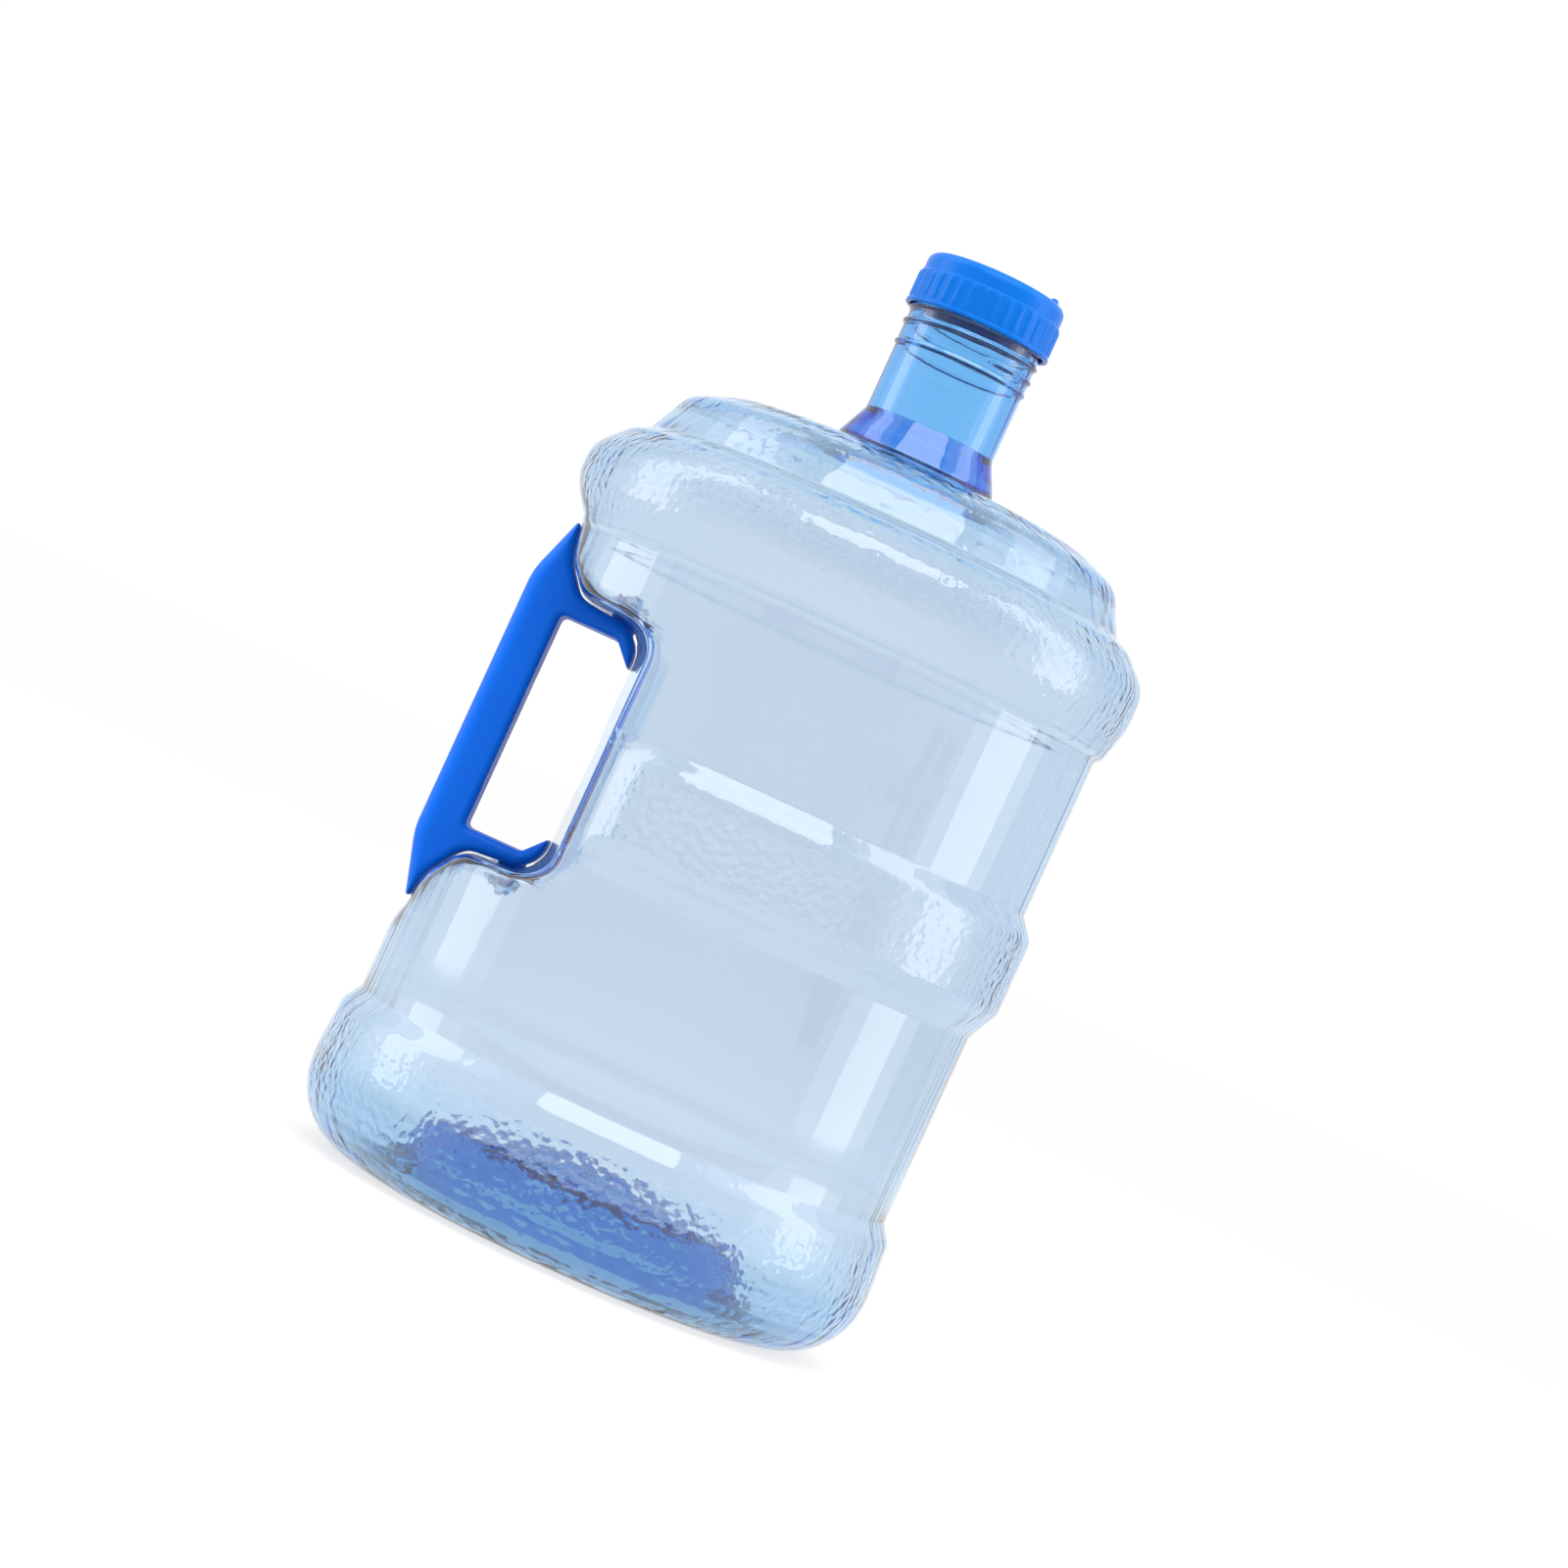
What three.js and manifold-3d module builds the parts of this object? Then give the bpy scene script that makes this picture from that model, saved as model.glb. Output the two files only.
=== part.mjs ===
// A large water jug: a clear blow-moulded bottle, a snap-in grip handle, a ribbed screw cap and its liner.
//
// Millimetres, +Z up. The origin is the centre of the ring that the jug stands on. The handle is on the -X
// side, and the mould's parting plane is the plane Y = 0, so both halves of the jug mirror each other in Y.

import * as THREE from 'three';
import { mergeVertices } from 'three/addons/utils/BufferGeometryUtils.js';
import Module from 'manifold-3d';

const wasm = await Module();
wasm.setup();

// ---- driving dimensions ----

// Bottle body: radii and heights from the standing ring upwards
const BODY_R = 95.3;              // plain cylinder
const BULGE_R = 100.8;            // the two bulges and the middle band
const WALL = 1.6;
const RING_INNER_R = 71;          // flat ring that the jug stands on
const RING_CORNER = 20;           // rounded corner from the ring into the wall
const PUSH_UP_R = 50;             // raised dome under the base, on a steep step
const PUSH_UP_Z = 18.6;
const STEP_R = 58;
const STEP_Z = 9.5;
const BASE_APEX_Z = 26.5;
const LOWER_BULGE_TOP = 52;
const BAND_BOTTOM = 118.5;
const BAND_TOP = 164;
const UPPER_BULGE_BOTTOM = 220.4;
const CREASE_R = 85.6;            // crease between the upper bulge and the shoulder
const CREASE_Z = 261;
const SHOULDER_R = 66;
const SHOULDER_Z = 281.8;
const CONE_R = 28.7;              // foot of the cone that carries the neck
const CONE_Z = 286.6;

// Neck and its 48 mm screw finish
const NECK_R = 23;
const NECK_FOOT_Z = 297;
const BORE_R = 21;
const BEAD_R = 23.9;
const BEAD_Z = 321.3;
const ROOT_R = 23.2;              // neck above the bead, where the thread stands on it
const RIM_Z = 351;
const THREAD_LEAD = 5;
const NECK_THREAD_H = 0.8;
const CAP_THREAD_H = 0.6;
const THREAD_FOOT = 1.8;          // width of the ridge at its foot and at its crest
const THREAD_CREST = 0.7;
const NECK_THREAD_START_Z = 325.2;
const NECK_THREAD_START_DEG = -73;
const NECK_THREAD_TURNS = 3.4;

// Recess for the handle, in the plane Y = 0, and its draft out of the mould
const POCKET_HALF_WIDTH = 92;     // the cutter reaches this far to each side of the parting plane
const POCKET_DRAFT_X = 0.165;     // growth away from the handle's face, at the cutter's ends
const POCKET_DRAFT_Z = 0.04;
const POCKET_MID_Z = 153;
const FACE_X = -BULGE_R;          // outer face of the grip, flush with the bulges
const OUTSIDE_X = -118;
const POCKET = [                  // x, z, corner radius, from the upper tip round to the lower tip
  [-92.4, 223.8, 0],
  [-89.8, 209.2, 12],
  [-82.3, 199.4, 9],
  [-57.8, 196.7, 11],
  [-57.8, 109.2, 11],
  [-82.8, 107.0, 9],
  [-90.9, 94.8, 12],
  [-93.2, 83.0, 0],
];
const BAND_END_X = -44;           // the band fades out this far from the recess
const BUMPS = [                   // catch bumps in the recess's walls: centre x, z and radii x, y, z
  [-66, 196.5, 7, 10, 9],
  [-66.5, 109, 7, 10, 9.5],
  [-57, 153, 7.5, 9, 11.5],
];

// Handle
const GRIP_WIDTH = 26;
const GRIP_EDGE = 3;              // rounded long edges
const HANDLE_GAP = 0.5;           // play between the handle and its recess
const HOLE = [                    // hand hole, open to the back between the two arms
  [-85.9, 191.3, 2],
  [-65.6, 191.3, 3],
  [-57.4, 182.5, 0],
  [-50, 182.5, 0],
  [-50, 122.3, 0],
  [-57.4, 122.3, 0],
  [-65.6, 114.3, 3],
  [-85.9, 114.3, 2],
];
const LUGS = [                    // catch lugs: centre x, z and radii x, y, z
  [-66, 196, 4.6, 7, 7],
  [-66.5, 109.5, 4.6, 7, 7],
];

// Cap and liner
const CAP_BOTTOM_Z = 334.7;
const CAP_TOP_Z = 354;
const CAP_CROWN_R = 24.75;        // above the ribs
const CAP_SKIRT_R = 25.3;         // between the ribs
const CAP_RIB_R = 25.7;
const CAP_LIP_R = 25.9;
const CAP_INNER_R = 24.35;        // inside the skirt, clear of the neck's thread
const CAP_SEAT_R = 23.8;          // inside the crown, round the liner
const CAP_CORNER = 3;
const RIB_COUNT = 36;
const RIB_BOTTOM_Z = 336.4;
const RIB_TOP_Z = 346.2;
const CAP_THREAD_TURNS = 1;
const CAP_THREAD_LEADS_UP = 2.5;  // midway between two turns of the neck's thread
const NUB_X = 19.6;
const NUB_R = 1.7;
const NUB_TOP_Z = 356;
const LINER_THICK = 1;
const LINER_R = 22.5;
const LINER_GAP = 0.3;            // between the rim and the liner, and between the liner and the cap

// Facets
const BODY_SEGMENTS = 32;
const CAP_SEGMENTS = 36;
const THREAD_STEPS_PER_TURN = 24;
const ARC_STEP = THREE.MathUtils.degToRad(30);

// ---- outlines ----

// Moves every edge of a chain of [x, y, radius] corners to its left and keeps the rounding concentric.
function offset(corners, distance) {
  const normals = corners.slice(1).map(([x, y], i) => {
    const [fromX, fromY] = corners[i];
    return new THREE.Vector2(fromY - y, x - fromX).normalize();
  });
  return corners.map(([x, y, radius], i) => {
    const before = normals[Math.max(i - 1, 0)];
    const after = normals[Math.min(i, normals.length - 1)];
    const move = before.clone().add(after).multiplyScalar(distance / (1 + before.dot(after)));
    const turn = Math.sign(before.cross(after));
    return [x + move.x, y + move.y, radius ? Math.max(radius - turn * distance, 0.4) : 0];
  });
}

// Turns [x, y, radius] corners into points, with an arc at each corner that has a radius.
function rounded(corners) {
  const count = corners.length;
  return corners.flatMap(([x, y, radius], i) => {
    const here = new THREE.Vector2(x, y);
    if (!radius) {
      return [here];
    }
    const [beforeX, beforeY] = corners[(i + count - 1) % count];
    const [afterX, afterY] = corners[(i + 1) % count];
    const back = new THREE.Vector2(beforeX - x, beforeY - y).normalize();
    const ahead = new THREE.Vector2(afterX - x, afterY - y).normalize();
    const half = Math.acos(back.dot(ahead)) / 2;
    const turn = (2 * half - Math.PI) * Math.sign(back.cross(ahead));
    const centre = back.clone().add(ahead).setLength(radius / Math.sin(half)).add(here);
    const start = back.multiplyScalar(radius / Math.tan(half)).add(here);
    const steps = Math.max(1, Math.round(Math.abs(turn) / ARC_STEP));
    return Array.from({ length: steps + 1 }, (_, k) => start.clone().rotateAround(centre, (turn * k) / steps));
  });
}

// ---- solids ----

// A closed geometry as a solid that can be joined and cut. Triangles that a pole has closed up are dropped.
function toSolid(geometry) {
  geometry.deleteAttribute('normal');
  geometry.deleteAttribute('uv');
  const merged = mergeVertices(geometry, 1e-4);
  const corners = merged.index.array;
  const triangles = [];
  for (let i = 0; i < corners.length; i += 3) {
    const [a, b, c] = corners.slice(i, i + 3);
    if (a !== b && b !== c && c !== a) {
      triangles.push(a, b, c);
    }
  }
  return new wasm.Manifold(new wasm.Mesh({
    numProp: 3,
    vertProperties: merged.attributes.position.array,
    triVerts: Uint32Array.from(triangles),
  }));
}

function toMesh(name, solid, material) {
  const result = solid.getMesh();
  const geometry = new THREE.BufferGeometry();
  geometry.setAttribute('position', new THREE.BufferAttribute(Float32Array.from(result.vertProperties), 3));
  geometry.setIndex(new THREE.BufferAttribute(Uint32Array.from(result.triVerts), 1));
  geometry.computeVertexNormals();
  const mesh = new THREE.Mesh(geometry, material);
  mesh.name = name;
  return mesh;
}

// A solid of revolution about Z. Its radius and height corners go up the outside, from axis to axis.
function turned(corners, segments) {
  return toSolid(new THREE.LatheGeometry(rounded(corners), segments).rotateX(Math.PI / 2));
}

// A ring about Z, from the radius and height corners of its section, anticlockwise.
function ring(corners, segments) {
  const section = rounded(corners);
  return toSolid(new THREE.LatheGeometry([...section, section[0]], segments).rotateX(Math.PI / 2));
}

// An outline in X and Z, extruded to both sides of the plane Y = 0 with a row of vertices on the plane.
function slab(corners, halfWidth) {
  const outline = new THREE.Shape(rounded(corners));
  const geometry = new THREE.ExtrudeGeometry(outline, { depth: 2 * halfWidth, steps: 2, bevelEnabled: false });
  return geometry.translate(0, 0, -halfWidth).rotateX(Math.PI / 2);
}

function ellipsoid([x, z, radiusX, radiusY, radiusZ], grow = 0) {
  const sphere = new THREE.SphereGeometry(1, 16, 10);
  sphere.scale(radiusX + grow, radiusY + grow, radiusZ + grow);
  return toSolid(sphere.translate(x, 0, z));
}

function joined(solids) {
  return solids.reduce((whole, solid) => whole.add(solid));
}

// A trapezoid ridge on a helix about Z, sunk a little into the wall that it stands on and tapered at its
// ends. The thread is right-handed: it rises anticlockwise seen from above.
function threadRidge({ wallR, crestR, startDeg, startZ, turns }) {
  const steps = Math.round(turns * THREAD_STEPS_PER_TURN);
  const footR = wallR - 0.4 * Math.sign(crestR - wallR);
  const positions = [];
  const triangles = [];
  for (let i = 0; i <= steps; i += 1) {
    const angle = THREE.MathUtils.degToRad(startDeg + (360 * turns * i) / steps);
    const z = startZ + (THREAD_LEAD * turns * i) / steps;
    const taper = Math.min(1, 0.2 + 0.4 * Math.min(i, steps - i));
    const topR = THREE.MathUtils.lerp(wallR, crestR, taper);
    const section = [
      [footR, -THREAD_FOOT / 2],
      [topR, -THREAD_CREST / 2],
      [topR, THREAD_CREST / 2],
      [footR, THREAD_FOOT / 2],
    ];
    section.forEach(([r, up]) => positions.push(r * Math.cos(angle), r * Math.sin(angle), z + up));
  }
  for (let i = 0; i < steps; i += 1) {
    for (let k = 0; k < 4; k += 1) {
      const a = 4 * i + k;
      const b = 4 * i + ((k + 1) % 4);
      triangles.push(a, a + 4, b, b, a + 4, b + 4);
    }
  }
  const end = 4 * steps;
  triangles.push(0, 1, 2, 0, 2, 3, end, end + 2, end + 1, end, end + 3, end + 2);
  if (crestR < wallR) {
    triangles.reverse();
  }
  const geometry = new THREE.BufferGeometry();
  geometry.setAttribute('position', new THREE.Float32BufferAttribute(positions, 3));
  geometry.setIndex(triangles);
  return toSolid(geometry);
}

// ---- bottle ----

// Half-section from the centre of the base to the foot of the cone, without the middle band.
const BODY_SECTION = [
  [0, BASE_APEX_Z, 0],
  [10, BASE_APEX_Z, 0],
  [PUSH_UP_R, PUSH_UP_Z, 6],
  [STEP_R, STEP_Z, 5],
  [RING_INNER_R, 0, 0],
  [BULGE_R - 1.2, 0, RING_CORNER],
  [BULGE_R, 30, 60],
  [BULGE_R - 1.2, LOWER_BULGE_TOP - 6, 6],
  [BODY_R, LOWER_BULGE_TOP, 2.5],
  [BODY_R, UPPER_BULGE_BOTTOM, 1.5],
  [BODY_R + 2.2, UPPER_BULGE_BOTTOM + 1.4, 2],
  [BULGE_R, 234, 14],
  [BULGE_R, 248.5, 12],
  [CREASE_R + 6, 258, 6],
  [CREASE_R, CREASE_Z, 1.8],
  [81.5, 269.5, 12],
  [78.5, 276.5, 8],
  [SHOULDER_R, SHOULDER_Z, 14],
];
const BAND_SECTION = [
  [BODY_R - 8, BAND_BOTTOM - 3, 0],
  [BODY_R, BAND_BOTTOM, 0],
  [BULGE_R, BAND_BOTTOM + 11, 12],
  [BULGE_R, BAND_TOP - 9.5, 8],
  [BODY_R, BAND_TOP, 0],
  [BODY_R - 8, BAND_TOP + 3, 0],
];

// What the mould's core takes out of one side for the handle. It widens towards both ends, by its draft.
function handleRecess(grow) {
  const [upperTip, lowerTip] = [POCKET[0], POCKET[POCKET.length - 1]];
  const outline = offset([
    [OUTSIDE_X, upperTip[1] + 16, 0],
    [FACE_X + 2, upperTip[1] + 8.5, 0],
    ...POCKET,
    [FACE_X + 3, lowerTip[1] - 8, 0],
    [OUTSIDE_X, lowerTip[1] - 14, 0],
  ], grow);
  const cutter = slab(outline, POCKET_HALF_WIDTH);
  const position = cutter.attributes.position;
  for (let i = 0; i < position.count; i += 1) {
    const out = Math.abs(position.getY(i)) / POCKET_HALF_WIDTH;
    position.setX(i, FACE_X + (position.getX(i) - FACE_X) * (1 + POCKET_DRAFT_X * out));
    position.setZ(i, POCKET_MID_Z + (position.getZ(i) - POCKET_MID_Z) * (1 + POCKET_DRAFT_Z * out));
  }
  return joined([toSolid(cutter), ...BUMPS.map((bump) => ellipsoid(bump, grow))]);
}

// The middle band runs round the body and stops short of the recess on both sides.
function middleBand(inset) {
  const whole = ring(offset(BAND_SECTION, inset), BODY_SEGMENTS);
  const recessSide = [
    [OUTSIDE_X, BAND_BOTTOM - 8, 0],
    [BAND_END_X + inset, BAND_BOTTOM - 8, 0],
    [BAND_END_X + inset, BAND_TOP + 8, 0],
    [OUTSIDE_X, BAND_TOP + 8, 0],
  ];
  return whole.subtract(toSolid(slab(recessSide, POCKET_HALF_WIDTH + 20)));
}

function makeBottle() {
  const outside = turned([
    ...BODY_SECTION,
    [CONE_R, CONE_Z, 3],
    [NECK_R, NECK_FOOT_Z, 4],
    [NECK_R, BEAD_Z - 1.2, 0],
    [BEAD_R, BEAD_Z, 0],
    [ROOT_R, BEAD_Z + 1.1, 0],
    [ROOT_R, RIM_Z, 0.8],
    [0, RIM_Z, 0],
  ], BODY_SEGMENTS);
  const hollow = turned([
    [0, BASE_APEX_Z + WALL, 0],
    ...offset(BODY_SECTION, WALL).slice(1),
    [BORE_R + 5, CONE_Z - 2, 3],
    [BORE_R, NECK_FOOT_Z - 0.5, 4],
    [BORE_R, RIM_Z + 4, 0],
    [0, RIM_Z + 4, 0],
  ], BODY_SEGMENTS);
  const thread = threadRidge({
    wallR: ROOT_R,
    crestR: ROOT_R + NECK_THREAD_H,
    startDeg: NECK_THREAD_START_DEG,
    startZ: NECK_THREAD_START_Z,
    turns: NECK_THREAD_TURNS,
  });
  const skin = outside.add(middleBand(0)).subtract(handleRecess(0)).add(thread);
  const space = hollow.add(middleBand(WALL)).subtract(handleRecess(WALL));
  return skin.subtract(space);
}

// ---- handle ----

function makeHandle() {
  const side = [
    ...offset(POCKET, -HANDLE_GAP),
    [FACE_X, 107, 22],
    [FACE_X, 201, 22],
  ];
  const plan = new THREE.Shape(rounded([
    [FACE_X, -GRIP_WIDTH / 2, GRIP_EDGE],
    [BAND_END_X, -GRIP_WIDTH / 2, 0],
    [BAND_END_X, GRIP_WIDTH / 2, 0],
    [FACE_X, GRIP_WIDTH / 2, GRIP_EDGE],
  ]));
  const upright = new THREE.ExtrudeGeometry(plan, { depth: RIM_Z, bevelEnabled: false });
  return toSolid(slab(side, GRIP_WIDTH))
    .intersect(toSolid(upright))
    .subtract(toSolid(slab(HOLE, GRIP_WIDTH)))
    .add(joined(LUGS.map((lug) => ellipsoid(lug))))
    .subtract(toSolid(slab(HOLE, GRIP_WIDTH)));
}

// ---- cap and liner ----

function makeCap() {
  const ceilingZ = RIM_Z + 2 * LINER_GAP + LINER_THICK;
  const outside = turned([
    [0, CAP_BOTTOM_Z, 0],
    [CAP_LIP_R, CAP_BOTTOM_Z, 0.5],
    [CAP_LIP_R, CAP_BOTTOM_Z + 1.3, 0.4],
    [CAP_SKIRT_R, CAP_BOTTOM_Z + 1.7, 0],
    [CAP_SKIRT_R, RIB_TOP_Z + 0.3, 0],
    [CAP_CROWN_R, RIB_TOP_Z + 0.8, 0],
    [CAP_CROWN_R, CAP_TOP_Z - 0.5, CAP_CORNER],
    [0, CAP_TOP_Z, 0],
  ], CAP_SEGMENTS);
  const inside = turned([
    [0, CAP_BOTTOM_Z - 4, 0],
    [CAP_INNER_R, CAP_BOTTOM_Z - 4, 0],
    [CAP_INNER_R, RIB_TOP_Z - 0.5, 0],
    [CAP_SEAT_R, RIB_TOP_Z, 0],
    [CAP_SEAT_R, RIM_Z, 0],
    [LINER_R + LINER_GAP, ceilingZ, 0],
    [0, ceilingZ, 0],
  ], CAP_SEGMENTS);
  const ribs = Array.from({ length: RIB_COUNT }, (_, i) => {
    const depth = CAP_RIB_R - CAP_SKIRT_R + 0.4;
    const rib = new THREE.BoxGeometry(depth, 1.3, RIB_TOP_Z - RIB_BOTTOM_Z);
    rib.translate(CAP_RIB_R - depth / 2, 0, (RIB_TOP_Z + RIB_BOTTOM_Z) / 2);
    return toSolid(rib.rotateZ((2 * Math.PI * (i + 0.5)) / RIB_COUNT));
  });
  const thread = threadRidge({
    wallR: CAP_INNER_R,
    crestR: CAP_INNER_R - CAP_THREAD_H,
    startDeg: NECK_THREAD_START_DEG,
    startZ: NECK_THREAD_START_Z + CAP_THREAD_LEADS_UP * THREAD_LEAD,
    turns: CAP_THREAD_TURNS,
  });
  const nub = new THREE.CylinderGeometry(NUB_R * 0.7, NUB_R, NUB_TOP_Z - CAP_TOP_Z + 1, 12);
  nub.rotateX(Math.PI / 2).translate(NUB_X, 0, (NUB_TOP_Z + CAP_TOP_Z - 1) / 2);
  return outside.add(joined([...ribs, toSolid(nub)])).subtract(inside).add(thread);
}

function makeLiner() {
  const bottomZ = RIM_Z + LINER_GAP;
  return turned([
    [0, bottomZ, 0],
    [LINER_R, bottomZ, 0],
    [LINER_R, bottomZ + LINER_THICK, 0],
    [0, bottomZ + LINER_THICK, 0],
  ], CAP_SEGMENTS);
}

// ---- the jug ----

const clearShell = new THREE.MeshStandardMaterial({
  color: 0xc4dcf2,
  roughness: 0.08,
  metalness: 0,
  transparent: true,
  opacity: 0.35,
});
const gripPlastic = new THREE.MeshStandardMaterial({ color: 0x0a5fd6, roughness: 0.42, metalness: 0 });
const capPlastic = new THREE.MeshStandardMaterial({ color: 0x0e78ea, roughness: 0.3, metalness: 0 });
const linerFoam = new THREE.MeshStandardMaterial({ color: 0xeef1f4, roughness: 0.75, metalness: 0 });

const jug = new THREE.Group();
jug.add(
  toMesh('bottle', makeBottle(), clearShell),
  toMesh('handle', makeHandle(), gripPlastic),
  toMesh('cap', makeCap(), capPlastic),
  toMesh('cap_liner', makeLiner(), linerFoam),
);

export default jug;
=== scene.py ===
"""The looks of a large water jug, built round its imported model.

Shapes are worked out in millimetres in the part's own frame, and mesh() turns them into metres. The bottle
is one skin of rings round the Z axis, with the handle's recess cut into each ring, and its inner wall is
that skin moved in by the local thickness of the plastic.
"""

import math

import bmesh
import bpy
import numpy as np
from mathutils import Matrix, Vector


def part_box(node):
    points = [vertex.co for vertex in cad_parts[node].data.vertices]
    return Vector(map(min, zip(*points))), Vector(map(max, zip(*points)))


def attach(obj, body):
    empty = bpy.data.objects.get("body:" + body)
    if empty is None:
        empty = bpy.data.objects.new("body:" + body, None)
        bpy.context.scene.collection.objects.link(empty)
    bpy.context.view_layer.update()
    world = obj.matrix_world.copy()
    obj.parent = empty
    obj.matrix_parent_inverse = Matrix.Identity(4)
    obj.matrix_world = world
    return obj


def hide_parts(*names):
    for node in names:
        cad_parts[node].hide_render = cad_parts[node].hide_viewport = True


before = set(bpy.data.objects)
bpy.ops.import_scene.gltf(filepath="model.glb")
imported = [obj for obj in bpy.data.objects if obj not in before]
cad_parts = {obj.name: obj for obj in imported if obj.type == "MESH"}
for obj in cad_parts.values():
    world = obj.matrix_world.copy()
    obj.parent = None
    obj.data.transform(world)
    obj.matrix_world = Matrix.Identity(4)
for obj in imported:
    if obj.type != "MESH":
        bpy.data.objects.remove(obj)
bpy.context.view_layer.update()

# ---- driving dimensions, in millimetres ----

MM = 0.001
BULGE_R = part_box("bottle")[1][0] / MM
RIM_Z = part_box("bottle")[1][2] / MM
CAP_BOTTOM_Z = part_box("cap")[0][2] / MM
CAP_NUB_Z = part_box("cap")[1][2] / MM
GRIP_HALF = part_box("handle")[1][1] / MM
LINER_LOW, LINER_HIGH = (corner[2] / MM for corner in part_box("cap_liner"))
LINER_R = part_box("cap_liner")[1][0] / MM

BODY_R = BULGE_R - 5.5
NECK_R = 23.0
BORE_R = 20.1
BEAD_TOP_Z = 322.4
ROOT_R = 23.2
THREAD_LEAD = 5.0
THREAD_START_Z = 325.2
THREAD_START = math.radians(-73)
THREAD_TURNS = 3.4
THREAD_H = 0.8

# Half-section of the bottle: radius, height, rounding, wall thickness
BODY_SECTION = [
    (0.8, 25.2, 0, 4.4),
    (10, 24.9, 40, 4.4),
    (50, 18.2, 5, 4.6),
    (58, 9.2, 4, 4.2),
    (70.4, 0, 5, 2.6),
    (BULGE_R - 1.2, 0, 25.5, 1.4),
    (BULGE_R, 30, 60, 0.95),
    (BULGE_R - 1.3, 46, 5, 0.85),
    (BODY_R, 52.3, 2.2, 0.85),
    (BODY_R, 119.8, 3, 0.85),
    (BULGE_R, 130.5, 7, 0.85),
    (BULGE_R, 157, 6, 0.85),
    (BODY_R, 164, 2, 0.85),
    (BODY_R, 220.2, 1.6, 0.85),
    (BODY_R + 2.2, 221.8, 2, 0.85),
    (BULGE_R, 234.5, 14, 0.85),
    (BULGE_R, 247.3, 12, 0.85),
    (91.6, 256.8, 6, 0.9),
    (85.6, 259.8, 1.8, 1.0),
    (81.5, 267.8, 12, 1.0),
    (78.5, 274.5, 8, 1.1),
    (66, 279.8, 14, 1.05),
    (36, 283.6, 0, 1.8),
    (28.9, 284.5, 2, 2.0),
    (NECK_R, 297, 4, 2.6),
]
NECK_SECTION = [
    (NECK_R, 320.3, 0.4, 2.6),
    (23.9, 321.3, 0.5, 2.6),
    (ROOT_R, BEAD_TOP_Z, 0.4, 2.6),
    (ROOT_R, RIM_Z, 1.0, 2.6),
    (21.8, RIM_Z, 0, 2.6),
]
# Half-section of the bore through the neck. It takes over from the inner wall at this height.
BORE_FROM_Z = 283.7
BORE_SECTION = [
    (28, 282.2),
    (23.5, 282.8),
    (21.3, 284.5),
    (BORE_R, 288),
    (BORE_R, 322),
    (BORE_R, RIM_Z - 0.8),
    (BORE_R + 0.25, RIM_Z - 0.2),
    (BORE_R + 0.7, RIM_Z),
]
BAND_Z = (115, 169)
BAND_FADE_X = (-47, -36)
# Zones with a pebbled finish: from and to which height, strength, half-width of the fade at both ends
PEBBLE_ZONES = [
    (15, 43.5, 1.0, 1.8),
    (130.5, 157, 1.0, 1.5),
    (227, 256, 1.0, 2.0),
    (271, 283, 0.7, 1.5),
]
# Zones of the base, by the radii between which each one fades: its dome and the ring round it, which is
# tinted darker as painted shade
BASE_TOP_Z = 30
DOME_FADE_R = (44, 50)
DOME_PEBBLES_FADE_R = (46, 50)
SHADED_RING_FADE_IN_R = (46, 52)
SHADED_RING_FADE_OUT_R = (66, 80)

# The recess for the handle in the plane Y = 0: x, height, rounding. It widens towards both sides.
RECESS = [
    (-104, 239, 0),
    (-92.4, 223.8, 3),
    (-89.8, 209.2, 12),
    (-82.3, 199.4, 9),
    (-57.8, 196.7, 11),
    (-57.8, 109.2, 11),
    (-82.8, 107.0, 9),
    (-90.9, 94.8, 12),
    (-93.2, 83.0, 3),
    (-104, 66, 0),
]
RECESS_DRAFT = 0.165 / 92
RECESS_WALL = 0.35   # how much thicker the recess is than the body round it
LIP_R = 3.2
# Catch bumps in the recess's walls: the axis that the wall runs along, place on it, place of the wall on the
# other axis, half-length, half-width, depth, direction
BUMPS = [
    ("x", -65.5, 197.2, 7.5, 11, 9.0, (0, 0, 1)),
    ("x", -66.5, 108.6, 7.5, 11, 9.3, (0, 0, -1)),
    ("z", 153.0, -57.8, 12.5, 10, 6.5, (1, 0, 0)),
]

# The handle's outline in the plane Y = 0: x, height, rounding
HANDLE = [
    (-92.9, 223.6, 0.8),
    (-90.3, 209.0, 12),
    (-82.6, 198.9, 9),
    (-58.4, 196.2, 10.4),
    (-58.4, 183.4, 0.4),
    (-65.6, 191.3, 3),
    (-85.9, 191.3, 2),
    (-85.9, 114.3, 2),
    (-65.6, 114.3, 3),
    (-58.4, 122.2, 0.4),
    (-58.4, 109.7, 10.4),
    (-83.1, 107.5, 9),
    (-91.3, 95.1, 12),
    (-93.7, 83.3, 0.8),
    (-BULGE_R, 107, 22),
    (-BULGE_R, 201, 22),
]
GRIP_OUTER_EDGE = 5.0
GRIP_INNER_EDGE = 2.6
GRIP_EDGE_FADE_X = (-98, -90)
HANDLE_VOXEL = 0.9
LUG_BLEND = 1.2
# Catch lugs: x, height, half-sizes along X, Y and Z
LUGS = [(-66, 197.8, 4.6, 7, 5.3), (-66.5, 107.8, 4.6, 7, 5.3)]

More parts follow.
